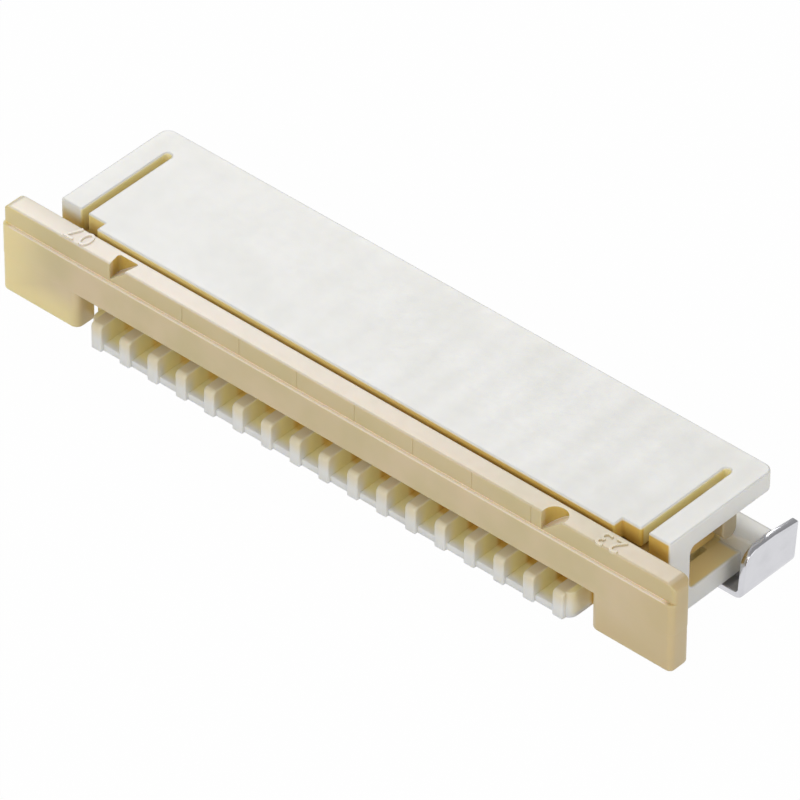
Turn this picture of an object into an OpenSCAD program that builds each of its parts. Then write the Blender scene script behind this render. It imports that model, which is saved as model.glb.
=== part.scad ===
// Right-angle flat-cable connector with a sliding lock.
// X runs along the contact row, Y goes back from the closed slider's front face,
// and Z is up from the circuit board.

/* [Contact row] */
// Number of contacts
contact_count = 16; // [8:1:18]
// Distance between contacts
pitch = 1; // [0.9:0.05:1.2]
// Thickness of the flat cable that the connector takes
cable_t = 0.3; // [0.2:0.05:0.4]

/* [Housing] */
// Height of the housing's top above the board
housing_h = 2.94; // [2.8:0.02:3.2]
// Thickness of the roof
roof_t = 0.62; // [0.45:0.01:0.75]
// Depth of the roof, front to back
roof_depth = 4.43; // [4.3:0.05:5.2]
// How far the roof's end arms are set back from its front edge
arm_setback = 0.33; // [0.15:0.01:0.5]
// Radius of the roof's back corners
roof_corner_r = 0.3; // [0.1:0.05:0.5]
// Height of the floor between the ribs
floor_t = 0.6; // [0.45:0.01:0.7]
// Height of the ribs above the floor
rib_h = 0.25; // [0.1:0.01:0.3]
// Width of each rib
rib_w = 0.36; // [0.2:0.02:0.45]
// How far the ribs stand in front of the lip
rib_proud = 0.11; // [0.02:0.01:0.2]
// How far the ribs reach in front of the slider
rib_reach = 0.22; // [0.15:0.01:0.35]
// Height of the lip in front of each contact
lip_h = 0.23; // [0.1:0.01:0.35]
// Length of the lip beyond the last rib's middle
lip_end = 0.35; // [0.25:0.01:0.45]
// Radius of the lip's outer corners
lip_corner_r = 0.42; // [0.2:0.02:0.45]
// Thickness of the walls at the cable's edges
side_wall = 0.32; // [0.2:0.01:0.45]
// Thickness of the rear wall that holds the contacts
rear_wall_t = 0.95; // [0.7:0.05:1.1]
// How far the roof hangs over behind the rear wall
roof_overhang = 0.27; // [0.1:0.01:0.4]

/* [End frames] */
// Width of each end frame, along X
frame_w = 0.73; // [0.5:0.01:0.9]
// Width of the slot between an end frame and the roof
slot_w = 0.23; // [0.15:0.01:0.35]
// Length of that slot
slot_len = 3.3; // [2.5:0.05:3.5]
// Depth of the end frame's front post, along Y
post_w = 0.83; // [0.5:0.01:0.95]
// Height of the end frame's lower rail above the board
rail_z = 0.31; // [0.2:0.01:0.4]
// Height of the rail itself
rail_h = 0.64; // [0.4:0.01:0.7]

/* [Tab blocks] */
// How far the tab block stands out beyond the end frame
block_out = 0.36; // [0.2:0.01:0.5]
// Depth of the tab block, along Y
block_depth = 0.85; // [0.8:0.05:1]
// Distance from the tab block's back to the roof's back edge
block_setback = 0.42; // [0.3:0.01:0.5]
// Height of the tab block's top above the board
block_top = 1.38; // [1.1:0.01:1.5]

/* [Slider] */
// Travel of the slider from closed to open
travel = 1.45; // [1:0.05:1.6]
// Thickness of the slider's bar and ears, along Y
bar_t = 0.73; // [0.55:0.01:0.9]
// Depth of the ledge along the bar's front
ledge = 0.1; // [0.05:0.01:0.2]
// Height of the upper strip above that ledge
strip_h = 0.59; // [0.4:0.01:0.7]
// How far the strip stays below the housing's top
strip_drop = 0.11; // [0.05:0.01:0.3]
// Width of each ear, along X
ear_w = 2.74; // [2:0.02:3.2]
// Gap between an ear and the lip, along X
ear_gap = 0.51; // [0.3:0.01:0.7]
// Height of the ears' lower edge above the board
ear_z = 0.03; // [0.02:0.01:0.3]
// Radius of the ears' outer corners in plan
ear_corner_r = 0.3; // [0.1:0.01:0.32]
// Radius of the slider's upper corners, seen from the front
shoulder_r = 0.3; // [0.1:0.05:0.5]
// How much shorter the strip is than the ears at each end
strip_inset = 0.03; // [0.02:0.01:0.3]
// Width of each side arm, along X
arm_w = 0.75; // [0.5:0.01:0.9]
// How far each latch lug stands out from its arm
lug_out = 0.6; // [0.4:0.01:0.75]
// Length of each latch lug, along Y
lug_len = 0.55; // [0.4:0.01:0.6]
// Reach of the tongue behind the bar
tongue_len = 2.57; // [2:0.05:3]
// Depth of the two marks in the strip, along Y
mark_depth = 0.48; // [0.3:0.01:0.55]
// Width of the two marks
mark_w = 0.72; // [0.5:0.02:0.9]

/* [Metal] */
// Thickness of the contacts, along X
contact_t = 0.25; // [0.15:0.01:0.3]
// Height of the contact's beams
beam_h = 0.3; // [0.2:0.01:0.32]
// How far the contact point stands above the ribs
bump_h = 0.12; // [0.05:0.01:0.2]
// Length of the solder tail behind the rear wall
tail_len = 0.9; // [0.6:0.05:1.3]
// Thickness of the solder tail
tail_t = 0.2; // [0.12:0.01:0.25]
// Thickness of the board tabs
tab_t = 0.2; // [0.12:0.01:0.25]
// Length of each board tab, along Y
tab_len = 2.05; // [1.6:0.05:2.2]
// Height of each board tab
tab_h = 1.6; // [1.2:0.05:1.8]
// Radius of the tab's upper front corner
tab_corner_r = 0.5; // [0.2:0.05:0.6]
// Outward lean of the board tab, in degrees
tab_lean = 4; // [0:1:6]

/* [Clearances] */
// Clearance round the slider's sliding faces
run_gap = 0.07; // [0.03:0.01:0.1]
// Gap left at each end of the slider's travel
stop_gap = 0.05; // [0.02:0.01:0.1]
// Clearance beside the cable's edges
cable_gap = 0.06; // [0.03:0.01:0.15]
// Clearance above the cable, under the closed slider
cable_play = 0.08; // [0.04:0.01:0.15]
// Gap between the strip and the roof's front edge
roof_gap = 0.11; // [0.06:0.01:0.2]
// Clearance round the contacts and tabs in their slots
metal_gap = 0.02; // [0.01:0.01:0.04]

/* [Hidden] */
$fn = 48;
eps = 0.01;

// Small fixed sizes of the mouldings
step_w = 0.04; // how far the roof's front reaches past the wall
small_r = 0.1; // small corners, and half the posts' inner corners
join_len = 0.5; // webs from the end frames to the tab blocks
pocket_reach = 0.3; // pockets behind the bar

// Small fixed sizes round the metal
tip_gap = 0.1; // from a pocket's end to its contact's tip
groove_z = 0.25; // floor left under the contacts
base_cover = 0.25; // rear wall behind the contacts' bases
bend = 0.1; // bevels and bends of the contacts
tab_behind = 0.6; // board tab behind its block
foot_setback = 0.2; // board tab's foot from the plate's back
prong_inset = 0.35; // prong from the end frame's inner side
prong_margin = 0.15; // prong from the block's front and back
prong_cover = 0.35; // block left over the prong

housing_color = [0.93, 0.93, 0.90];
slider_color = [0.80, 0.69, 0.52];
metal_color = [0.80, 0.80, 0.82];

// Half widths along X, from the middle outwards
row_half = contact_count * pitch / 2;
lip_half = row_half + lip_end;
cavity_half = row_half + pitch / 2 + cable_gap;
wall_half = cavity_half + side_wall;
arm_in = wall_half + run_gap;
arm_out = arm_in + arm_w;
frame_in = arm_out + run_gap;
frame_out = frame_in + frame_w;
block_half = frame_out + block_out;
tab_in = block_half + metal_gap;
ear_in = lip_half + ear_gap;
ear_out = ear_in + ear_w;

// Places along Y, from the closed slider's front face
rib_front = -rib_reach;
lip_front = rib_front + rib_proud;
wall_front = bar_t + stop_gap;
roof_front = bar_t + roof_gap;
roof_back = roof_front + roof_depth;
arm_front = roof_front + arm_setback;
slot_end = arm_front + slot_len;
post_back = arm_front + post_w;
rear_back = roof_back - roof_overhang;
rear_front = rear_back - rear_wall_t;
block_back = roof_back - block_setback;
block_front = block_back - block_depth;
join_front = block_front - join_len;
lug_front = post_back + travel + stop_gap;
lug_back = lug_front + lug_len;
tab_back = block_back + tab_behind;
tab_front = tab_back - tab_len;

// Heights along Z, from the board
roof_z = housing_h - roof_t;
rib_z = floor_t + rib_h;
bar_z = rib_z + cable_t + cable_play;
strip_z = housing_h - strip_drop;
ledge_z = strip_z - strip_h;
rail_top = rail_z + rail_h;
arm_z = rail_top + run_gap;
arm_top = roof_z - run_gap;
lug_z = block_top + run_gap;
contact_top = roof_z - 2 * metal_gap;
beam_z = contact_top - beam_h;
tongue_top = beam_z - run_gap;

// The pocket behind the lip, the contact's tip and its base in the rear wall
pocket_back = bar_t + pocket_reach;
tip_y = pocket_back + tip_gap;
base_front = rear_front + metal_gap;
base_back = rear_back - base_cover;

// The board tab's inner prong, in the tab block
prong_low = [frame_in + prong_inset, block_front + prong_margin, 0];
prong_high = [prong_low.x + tab_t, block_back - prong_margin, block_top - prong_cover];

// A box between two corners
module block(low, high) {
    translate(low)
        cube(high - low);
}

// A rectangle between two corners with round corners
module round_rect(low, high, r) {
    translate(low + [r, 0])
        square(high - low - [2 * r, 0]);
    translate(low + [0, r])
        square(high - low - [0, 2 * r]);
    for (x = [low.x + r, high.x - r], y = [low.y + r, high.y - r])
        translate([x, y])
            circle(r);
}

// Turns an outline drawn in Y and Z into a slab from x0 to x1
module slab_x(x0, x1) {
    translate([x0, 0, 0])
        rotate([90, 0, 90])
            linear_extrude(x1 - x0)
                children();
}

// Turns an outline drawn in X and Z into a slab from y0 to y1
module slab_y(y0, y1) {
    translate([0, y1, 0])
        rotate([90, 0, 0])
            linear_extrude(y1 - y0)
                children();
}

// Turns an outline drawn in X and Y into a slab from z0 to z1
module slab_z(z0, z1) {
    translate([0, 0, z0])
        linear_extrude(z1 - z0)
            children();
}

// Repeats its children at both ends
module both_ends() {
    children();
    mirror([1, 0, 0])
        children();
}

module at_contacts() {
    for (i = [0:contact_count - 1])
        translate([(i + 0.5) * pitch - row_half, 0, 0])
            children();
}

// The roof seen from above, with its set-back end arms and slots
module roof_outline() {
    step_x = wall_half + step_w;
    slot_x = frame_in - slot_w / 2;
    difference() {
        union() {
            round_rect([-frame_out, arm_front], [frame_out, roof_back], roof_corner_r);
            translate([-step_x, roof_front])
                square([2 * step_x, roof_depth / 2]);
            for (side = [-1, 1])
                translate([side * (frame_out - frame_w / 2) - frame_w / 2, arm_front])
                    round_rect([0, 0], [frame_w, roof_depth / 2], small_r);
        }
        for (side = [-1, 1]) {
            translate([side * slot_x - slot_w / 2, arm_front - eps])
                square([slot_w, slot_len - slot_w / 2 + eps]);
            translate([side * slot_x, slot_end - slot_w / 2])
                circle(slot_w / 2);
        }
    }
}

// The floor's front seen from above
module lip_outline() {
    translate([-lip_half + lip_corner_r, lip_front])
        square([2 * (lip_half - lip_corner_r), wall_front - lip_front + eps]);
    translate([-lip_half, lip_front + lip_corner_r])
        square([2 * lip_half, wall_front - lip_front - lip_corner_r + eps]);
    for (side = [-1, 1])
        translate([side * (lip_half - lip_corner_r), lip_front + lip_corner_r])
            circle(lip_corner_r);
}

// One rib from the side, with a lead-in at its upper front edge
module rib_outline() {
    lead = 0.14;
    foot = 0.05;
    polygon([
        [rib_front + foot, 0],
        [rear_front + eps, 0],
        [rear_front + eps, rib_z],
        [rib_front + lead, rib_z],
        [rib_front, rib_z - lead],
        [rib_front, foot]
    ]);
}

module ribs() {
    for (i = [0:contact_count])
        slab_x(i * pitch - row_half - rib_w / 2, i * pitch - row_half + rib_w / 2)
            rib_outline();
}

// The floor, the lip and the walls round the cable
module housing_shell() {
    slab_z(0, floor_t)
        lip_outline();
    block([-wall_half, wall_front, 0], [wall_half, rear_back, floor_t]);
    block([-wall_half, rear_front, 0], [wall_half, rear_back, roof_z + eps]);
    both_ends() {
        slab_z(0, rib_z)
            intersection() {
                lip_outline();
                translate([row_half, lip_front])
                    square([lip_end, wall_front]);
            }
        block([row_half, wall_front, 0], [wall_half, rear_front + eps, rib_z]);
        block([cavity_half, wall_front, 0], [wall_half, rear_front + eps, roof_z + eps]);
    }
    ribs();
}

// The C-shaped frame at one end and the block that carries the board tab
module end_frame() {
    slab_x(frame_in, frame_out)
        difference() {
            round_rect([arm_front, rail_z], [roof_back, roof_z + roof_t / 2], small_r);
            round_rect([post_back, rail_top], [roof_back + 1, roof_z], 2 * small_r);
            translate([block_back, rail_z - eps])
                square([1, roof_z - rail_z + eps]);
        }
    block([wall_half - eps, arm_front, rail_z], [frame_in - slot_w, block_back, rail_top]);
    block([frame_in - slot_w - eps, join_front, rail_z], [frame_in + eps, block_back, rail_top]);
    slab_x(wall_half - eps, block_half)
        round_rect([block_front, tab_t + metal_gap], [block_back, block_top], small_r);
}

// The slot that one contact is pushed into from behind
module contact_slot() {
    half = contact_t / 2 + metal_gap;
    block([-half, pocket_back - eps, groove_z], [half, roof_back, contact_top + metal_gap]);
    block([-half, base_back - metal_gap, -eps], [half, roof_back, groove_z + eps]);
}

// The open pocket between two ribs, behind the lip
module pocket() {
    half = (pitch - rib_w) / 2;
    block([-half, lip_front - eps, lip_h], [half, pocket_back, rib_z + eps]);
}

// The pocket under the tab block for the tab's inner prong
module prong_slot() {
    low = prong_low - [metal_gap, metal_gap, prong_low.z + eps];
    block(low, prong_high + [metal_gap, metal_gap, metal_gap]);
}

module housing() {
    color(housing_color)
        difference() {
            union() {
                housing_shell();
                both_ends()
                    end_frame();
                slab_z(roof_z, housing_h)
                    roof_outline();
            }
            at_contacts() {
                pocket();
                contact_slot();
            }
            both_ends()
                prong_slot();
        }
}

// The slider's bar and ears seen from the front, up to the ledge
module bar_outline() {
    draft = 0.06;
    difference() {
        union() {
            round_rect([-ear_out, ear_z], [ear_out, ledge_z], small_r);
            translate([-ear_out, ledge_z - 2 * small_r])
                square([2 * ear_out, 2 * small_r]);
        }
        polygon([
            [-ear_in - draft, ear_z - 1],
            [ear_in + draft, ear_z - 1],
            [ear_in + draft, ear_z],
            [ear_in, bar_z],
            [-ear_in, bar_z],
            [-ear_in - draft, ear_z]
        ]);
    }
}

// The strip above the ledge seen from the front
module strip_outline() {
    half = ear_out - strip_inset;
    translate([-half, ledge_z - eps])
        square([2 * half, strip_h - shoulder_r + eps]);
    translate([-half + shoulder_r, ledge_z])
        square([2 * (half - shoulder_r), strip_h]);
    for (side = [-1, 1])
        translate([side * (half - shoulder_r), strip_z - shoulder_r])
            circle(shoulder_r);
}

// The strip with its corners rounded in plan as well
module strip() {
    half = ear_out - strip_inset;
    intersection() {
        slab_y(ledge, bar_t)
            strip_outline();
        slab_z(ledge_z - eps, strip_z)
            round_rect([-half, ledge], [half, bar_t], ear_corner_r);
    }
}

// The tongue that presses the cable onto the contacts, from the side
module tongue_outline() {
    tip = bar_t + tongue_len;
    nose = (tongue_top - bar_z) / 2;
    polygon([
        [bar_t - eps, bar_z],
        [tip - 2 * nose, bar_z],
        [tip, bar_z + nose],
        [tip, tongue_top - small_r],
        [tip - small_r, tongue_top],
        [bar_t - eps, tongue_top]
    ]);
}

// One side arm with its latch lug
module side_arm() {
    lug_r = lug_len / 2;
    block([arm_in, bar_t - eps, arm_z], [arm_out, block_front - run_gap, arm_top]);
    block([arm_in, bar_t, lug_z], [arm_out, lug_back, arm_top]);
    slab_x(arm_out - eps, arm_out + lug_out) {
        translate([lug_front, lug_z + lug_r])
            square([lug_len, arm_top - lug_z - lug_r]);
        translate([lug_front + lug_r, lug_z + lug_r])
            circle(lug_r);
    }
}

// The space over a mark's floor, which rises from the ledge to the strip's top
module over_mark_floor() {
    half = mark_w / 2 + eps;
    slab_y(-eps, ledge + mark_depth + eps)
        polygon([
            [-half, ledge_z + eps],
            [half, strip_z],
            [half, strip_z + eps],
            [-half, strip_z + eps]
        ]);
}

// The tapered mark over the first contact
module first_mark() {
    intersection() {
        slab_z(ledge_z, strip_z + eps)
            polygon([
                [-mark_w / 3, 0],
                [mark_w / 3, 0],
                [mark_w / 2, ledge + mark_depth],
                [-mark_w / 2, ledge + mark_depth]
            ]);
        over_mark_floor();
    }
}

// The round-ended mark over the last contact
module last_mark() {
    r = mark_w / 2;
    intersection() {
        slab_z(ledge_z, strip_z + eps) {
            translate([-r, 0])
                square([2 * r, ledge + mark_depth - r]);
            translate([0, ledge + mark_depth - r])
                circle(r);
        }
        over_mark_floor();
    }
}

module slider() {
    color(slider_color)
        difference() {
            union() {
                intersection() {
                    slab_y(0, bar_t)
                        bar_outline();
                    slab_z(0, strip_z)
                        round_rect([-ear_out, 0], [ear_out, bar_t], ear_corner_r);
                }
                strip();
                slab_x(-cavity_half + run_gap, cavity_half - run_gap)
                    tongue_outline();
                both_ends()
                    side_arm();
            }
            translate([pitch / 2 - row_half, 0, 0])
                first_mark();
            translate([row_half - pitch / 2, 0, 0])
                last_mark();
        }
}

// The contact from the side: two beams, a base in the rear wall and a solder tail
module contact_outline() {
    bump_y = tip_y + 3 * bend;
    bump_z = rib_z + bump_h;
    foot_z = groove_z + metal_gap;
    foot_top = foot_z + beam_h;
    tail_y = rear_back + tail_len;
    polygon([
        [tip_y, bump_z - beam_h],
        [tip_y + bend, foot_z + bend],
        [bump_y + bend, foot_z],
        [base_back - bend, foot_z],
        [base_back, 0],
        [tail_y, 0],
        [tail_y, tail_t],
        [base_back + 2 * bend, tail_t],
        [base_back + bend, tail_t + bend],
        [base_back, contact_top - bend],
        [base_back - bend, contact_top],
        [bump_y + bend, contact_top],
        [bump_y, beam_z + bend],
        [bump_y + bend, beam_z],
        [base_front - bend, beam_z],
        [base_front, beam_z - bend],
        [base_front, foot_top + bend],
        [base_front - bend, foot_top],
        [bump_y + 3 * bend, foot_top],
        [bump_y + bend / 2, bump_z],
        [bump_y - bend / 2, bump_z]
    ]);
}

module contact(i) {
    color(metal_color)
        translate([(i - 0.5) * pitch - row_half, 0, 0])
            slab_x(-contact_t / 2, contact_t / 2)
                contact_outline();
}

// The board tab's upright plate from the side
module tab_plate() {
    slope = 0.12;
    polygon([
        [tab_front, 0],
        [tab_back, 0],
        [tab_back, tab_h - slope],
        [tab_front + 2 * tab_corner_r, tab_h],
        [tab_front + tab_corner_r, tab_h],
        [tab_front, tab_h - tab_corner_r]
    ]);
    translate([tab_front + tab_corner_r, tab_h - tab_corner_r])
        circle(tab_corner_r);
}

// The board tab: the plate, a foot on the board and a prong in the tab block
module tab() {
    color(metal_color) {
        translate([tab_in + tab_t, 0, 0])
            rotate([0, tab_lean, 0])
                slab_x(-tab_t, 0)
                    tab_plate();
        block([prong_low.x, tab_front, 0], [tab_in + tab_t / 2, tab_back - foot_setback, tab_t]);
        block(prong_low, prong_high);
    }
}

housing();
slider();
mirror([1, 0, 0]) tab();  // tab_left
tab();  // tab_right
for (i = [1:contact_count])
    contact(i);
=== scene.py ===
import bpy
import bmesh
import math
from mathutils import Matrix, Vector


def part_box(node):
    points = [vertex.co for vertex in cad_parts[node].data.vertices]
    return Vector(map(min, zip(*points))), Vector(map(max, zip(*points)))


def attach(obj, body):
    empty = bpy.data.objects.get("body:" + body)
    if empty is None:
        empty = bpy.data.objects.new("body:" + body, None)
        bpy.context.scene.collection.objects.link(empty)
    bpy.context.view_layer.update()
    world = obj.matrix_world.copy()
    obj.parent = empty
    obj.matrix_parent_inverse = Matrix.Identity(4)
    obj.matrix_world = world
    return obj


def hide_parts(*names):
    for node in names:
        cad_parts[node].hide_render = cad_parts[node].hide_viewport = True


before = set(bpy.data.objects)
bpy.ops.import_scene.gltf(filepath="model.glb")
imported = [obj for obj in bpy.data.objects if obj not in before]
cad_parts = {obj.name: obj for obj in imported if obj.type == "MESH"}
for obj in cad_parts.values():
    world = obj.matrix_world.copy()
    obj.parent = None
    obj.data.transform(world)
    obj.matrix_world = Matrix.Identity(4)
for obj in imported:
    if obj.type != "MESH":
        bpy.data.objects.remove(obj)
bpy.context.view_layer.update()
scene = bpy.context.scene

# The connector lies along X, the cable goes in from -Y, and the board is z = 0.
# Shapes are drawn in millimetres and scaled to metres once they are done.
# The right end is drawn and the left one mirrors it, apart from the slider's marks and numbers.
# In each function, s is the dictionary of what it makes.
contactCount, pitch = 16, 1.0
mm = 0.001
perMetre = 1000  # millimetres
tiny = 0.002  # keeps faces that would coincide apart, so that solids join cleanly
lap = 0.1  # how far one part runs into the next
past = 0.2  # how far a cutter runs out of what it cuts
seamGap = 0.00005  # points this close are one point
sharpAngle = 35  # degrees, from which an edge is rounded
flatFaceWeight = 90  # how much large faces decide the shading at their edges, up to 100


def cadEdges(node):
    low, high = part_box(node)
    return low / mm, high / mm


# drawing helpers

def roundCorners(corners, steps=8):
    # a corner is (a, b) or (a, b, radius), and a radius turns it into an arc
    points = []
    for i, corner in enumerate(corners):
        here = Vector(corner[:2])
        if len(corner) < 3:
            points.append(here)
            continue
        radius = corner[2]
        before = (Vector(corners[i - 1][:2]) - here).normalized()
        after = (Vector(corners[(i + 1) % len(corners)][:2]) - here).normalized()
        half = before.angle(after) / 2
        start = here + before * radius / math.tan(half)
        end = here + after * radius / math.tan(half)
        middle = here + (before + after).normalized() * radius / math.sin(half)
        angle = math.atan2(start.y - middle.y, start.x - middle.x)
        turn = math.atan2(end.y - middle.y, end.x - middle.x) - angle
        turn = (turn + math.pi) % (2 * math.pi) - math.pi
        for k in range(steps + 1):
            t = angle + turn * k / steps
            points.append(middle + Vector((math.cos(t), math.sin(t))) * radius)
    return points


def mirrored(half):
    # a half outline from the middle line outwards and back, and the same at the other end
    return list(half) + [(-c[0],) + tuple(c[1:]) for c in reversed(half)]


def bevelEdges(bm, leastAngle, soft, rings):
    edges = [e for e in bm.edges if e.calc_face_angle(0) > math.radians(leastAngle)]
    bmesh.ops.bevel(bm, geom=edges, offset=soft, offset_type="OFFSET", segments=rings, profile=0.5,
                    affect="EDGES", clamp_overlap=False)


outlinePlaces = {  # from an outline's a and b, and the distance t along the axis
    "x": lambda a, b, t: (t, a, b),
    "y": lambda a, b, t: (a, t, b),
    "z": lambda a, b, t: (a, b, t),
}


def meshFrom(bm, name):
    mesh = bpy.data.meshes.new(name)
    bm.to_mesh(mesh)
    bm.free()
    return mesh


def prism(corners, axis, low, high, soft=0.0, rings=2, steps=8):
    # an outline drawn out along an axis, with its sharp edges rounded by soft
    place = outlinePlaces[axis]
    points = roundCorners(corners, steps)
    bm = bmesh.new()
    lower = [bm.verts.new(place(p.x, p.y, low)) for p in points]
    upper = [bm.verts.new(place(p.x, p.y, high)) for p in points]
    bm.faces.new(lower)
    bm.faces.new(upper)
    for i in range(len(points)):
        bm.faces.new((lower[i - 1], lower[i], upper[i], upper[i - 1]))
    bmesh.ops.recalc_face_normals(bm, faces=bm.faces)
    if soft:
        bevelEdges(bm, sharpAngle, soft, rings)
    return meshFrom(bm, "prism")


def block(low, high, soft=0.0, rings=2):
    return prism([(low[0], low[1]), (high[0], low[1]), (high[0], high[1]), (low[0], high[1])],
                 "z", low[2], high[2], soft, rings)


def flipped(mesh):
    # the same shape at the other end of the connector
    bm = bmesh.new()
    bm.from_mesh(mesh)
    bmesh.ops.scale(bm, vec=(-1, 1, 1), verts=bm.verts)
    bmesh.ops.recalc_face_normals(bm, faces=bm.faces)
    return meshFrom(bm, mesh.name)


def bothEnds(meshes):
    return list(meshes) + [flipped(m) for m in meshes]


def placed(name, data):
    obj = bpy.data.objects.new(name, data)
    scene.collection.objects.link(obj)
    return obj


def finalMesh(obj, name):
    # what an object's modifiers or its curve come to, as a plain mesh
    bpy.context.view_layer.update()
    graph = bpy.context.evaluated_depsgraph_get()
    mesh = bpy.data.meshes.new_from_object(obj.evaluated_get(graph))
    mesh.name = name
    return mesh


def combine(name, mesh, others, operation):
    # one solid, with the others added to it, cut from it or met by it in turn
    for other in others:
        solid, tool = placed(name, mesh), placed(name + "Tool", other)
        mod = solid.modifiers.new("combine", "BOOLEAN")
        mod.solver = "EXACT"
        mod.operation = operation
        mod.object = tool
        mesh = finalMesh(solid, name)
        bpy.data.objects.remove(solid)
        bpy.data.objects.remove(tool)
    print(f"{name}: {operation.lower()} of {len(others) + 1}, {len(mesh.polygons)} faces")
    return mesh


def finishPiece(name, mesh, material, body, nodes, smoothAngle=32):
    # merges the seams, scales to metres, gives the piece its finish and body, and hides the CAD nodes it
    # stands in for
    bm = bmesh.new()
    bm.from_mesh(mesh)
    bmesh.ops.remove_doubles(bm, verts=bm.verts, dist=seamGap)
    bmesh.ops.scale(bm, vec=(mm, mm, mm), verts=bm.verts)
    openEdges = sum(len(e.link_faces) != 2 for e in bm.edges)
    clean = meshFrom(bm, name)
    clean.materials.append(material)
    for face in clean.polygons:
        face.material_index = 0
        face.use_smooth = True
    clean.set_sharp_from_angle(angle=math.radians(smoothAngle))
    piece = placed(name, clean)
    mod = piece.modifiers.new("flatFaces", "WEIGHTED_NORMAL")
    mod.keep_sharp = True
    mod.weight = flatFaceWeight
    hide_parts(*nodes)
    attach(piece, body)
    print(f"{name}: {len(clean.vertices)} points, {len(clean.polygons)} faces, {openEdges} open edges")


# rows: one item set along X at an even spacing

def makeRowTree():
    tree = bpy.data.node_groups.new("rowAlongX", "GeometryNodeTree")
    sockets = [
        ("OUTPUT", "Geometry", "Geometry"), ("INPUT", "Item", "Geometry"), ("INPUT", "Material", "Material"),
        ("INPUT", "Count", "Int"), ("INPUT", "Spacing", "Float"), ("INPUT", "First X", "Float")]
    for side, label, kind in sockets:
        tree.interface.new_socket(label, in_out=side, socket_type="NodeSocket" + kind)
    add, link = tree.nodes.new, tree.links.new
    source = add("NodeGroupInput")
    result = add("NodeGroupOutput")
    step = add("ShaderNodeCombineXYZ")
    first = add("ShaderNodeCombineXYZ")
    line = add("GeometryNodeMeshLine")
    line.mode = "OFFSET"
    place = add("GeometryNodeInstanceOnPoints")
    real = add("GeometryNodeRealizeInstances")
    paint = add("GeometryNodeSetMaterial")
    link(source.outputs["Spacing"], step.inputs["X"])
    link(source.outputs["First X"], first.inputs["X"])
    link(source.outputs["Count"], line.inputs["Count"])
    link(first.outputs[0], line.inputs["Start Location"])
    link(step.outputs[0], line.inputs["Offset"])
    link(line.outputs[0], place.inputs["Points"])
    link(source.outputs["Item"], place.inputs["Instance"])
    link(place.outputs[0], real.inputs[0])
    link(real.outputs[0], paint.inputs["Geometry"])
    link(source.outputs["Material"], paint.inputs["Material"])
    link(paint.outputs[0], result.inputs[0])
    return tree


rowTree = makeRowTree()


def rowOf(name, item, count, spacing, firstX, material):
    obj = placed(name, item)
    mod = obj.modifiers.new("row", "NODES")
    mod.node_group = rowTree
    values = {"Count": count, "Spacing": spacing, "First X": firstX, "Material": material}
    for socket in rowTree.interface.items_tree:
        if socket.name in values:
            mod[socket.identifier] = values[socket.name]
    mesh = finalMesh(obj, name)
    bpy.data.objects.remove(obj)
    return mesh


def centredRow(name, item, count, spacing, material):
    return rowOf(name, item, count, spacing, -(count - 1) * spacing / 2, material)


# shader helpers

def setInput(tree, socket, value):
    # a socket takes another node's output, a number or a colour of three numbers
    if isinstance(value, bpy.types.NodeSocket):
        tree.links.new(value, socket)
    else:
        socket.default_value = (*value, 1) if isinstance(value, tuple) else value


def addMath(tree, operation, *values, clamp=False):
    node = tree.nodes.new("ShaderNodeMath")
    node.operation = operation
    node.use_clamp = clamp
    for socket, value in zip(node.inputs, values):
        setInput(tree, socket, value)
    return node.outputs[0]


def addProduct(tree, first, *others):
    for other in others:
        first = addMath(tree, "MULTIPLY", first, other)
    return first


def addRange(tree, value, low, high, toLow=0.0, toHigh=1.0, smooth=True):
    node = tree.nodes.new("ShaderNodeMapRange")
    node.interpolation_type = "SMOOTHSTEP" if smooth else "LINEAR"
    labels = ("Value", "From Min", "From Max", "To Min", "To Max")
    for label, v in zip(labels, (value, low, high, toLow, toHigh)):
        setInput(tree, node.inputs[label], v)
    return node.outputs["Result"]


def addMix(tree, factor, a, b):
    node = tree.nodes.new("ShaderNodeMix")
    node.data_type = "RGBA"
    # a Mix node's colours are its inputs 6 and 7, and its output 2
    for index, value in ((0, factor), (6, a), (7, b)):
        setInput(tree, node.inputs[index], value)
    return node.outputs[2]


def addNoise(tree, vector, scale, detail, roughness=0.5):
    node = tree.nodes.new("ShaderNodeTexNoise")
    for label, value in (("Vector", vector), ("Scale", scale), ("Detail", detail), ("Roughness", roughness)):
        setInput(tree, node.inputs[label], value)
    return node.outputs["Fac"]


def addSwing(tree, noise, amount):
    # a noise of 0 to 1, made to go as far down as up
    return addMath(tree, "MULTIPLY_ADD", noise, amount, -amount / 2)


def addStretch(tree, vector, scale):
    node = tree.nodes.new("ShaderNodeMapping")
    node.inputs["Scale"].default_value = scale
    tree.links.new(vector, node.inputs["Vector"])
    return node.outputs[0]


def addAxes(tree, vector):
    node = tree.nodes.new("ShaderNodeSeparateXYZ")
    tree.links.new(vector, node.inputs[0])
    return {"x": node.outputs["X"], "y": node.outputs["Y"], "z": node.outputs["Z"]}


# skins: groups that give a colour, a roughness and a height

def newSkin(name, inputs):
    group = bpy.data.node_groups.new(name, "ShaderNodeTree")
    for label, kind in [("Coordinates", "Vector")] + inputs:
        group.interface.new_socket(label, in_out="INPUT", socket_type="NodeSocket" + kind)
    for label, kind in [("Color", "Color"), ("Roughness", "Float"), ("Height", "Float")]:
        group.interface.new_socket(label, in_out="OUTPUT", socket_type="NodeSocket" + kind)
    return group, group.nodes.new("NodeGroupInput").outputs, group.nodes.new("NodeGroupOutput").inputs


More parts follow.
